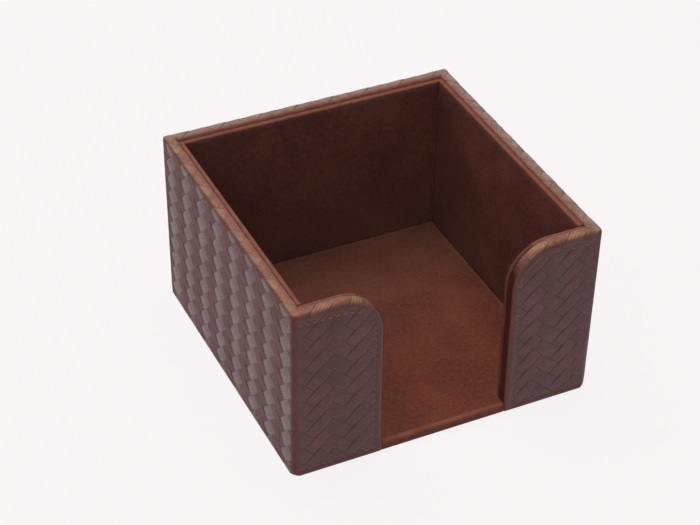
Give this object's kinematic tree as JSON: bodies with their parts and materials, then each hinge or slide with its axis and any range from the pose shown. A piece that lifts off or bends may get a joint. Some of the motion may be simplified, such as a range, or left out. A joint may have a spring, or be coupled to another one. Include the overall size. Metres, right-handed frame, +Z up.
{
  "type": "leather memo box",
  "caption": "Open square box for loose note sheets, wrapped in herringbone-embossed leather, with smooth leather lining and a round-shouldered thumb notch in the front wall.",
  "frame": {"origin": "centre of the underside of the base felt, where the box rests on the desk", "axes": "+Z up, the notched front wall faces -Y, +X to the right seen from the front"},
  "size_m": [0.105, 0.105, 0.0645],
  "materials": {
    "embossed_leather": "herringbone emboss, low sheen",
    "lining_leather": "smooth, semi-matt",
    "board": "grey board, matt",
    "card": "stiff card, matt",
    "felt": "short felt"
  },
  "bodies": {
    "root": {"outer_cover": "embossed_leather", "base_board": "board", "back_board": "board", "left_board": "board", "right_board": "board", "front_left_board": "board", "front_right_board": "board", "back_lining": "lining_leather", "left_lining": "lining_leather", "right_lining": "lining_leather", "front_left_lining": "lining_leather", "front_right_lining": "lining_leather", "floor_lining": "lining_leather", "back_lining_card": "card", "left_lining_card": "card", "right_lining_card": "card", "front_left_lining_card": "card", "front_right_lining_card": "card", "floor_card": "card", "filler_card": "card", "base_felt": "felt"}
  },
  "joints": []
}
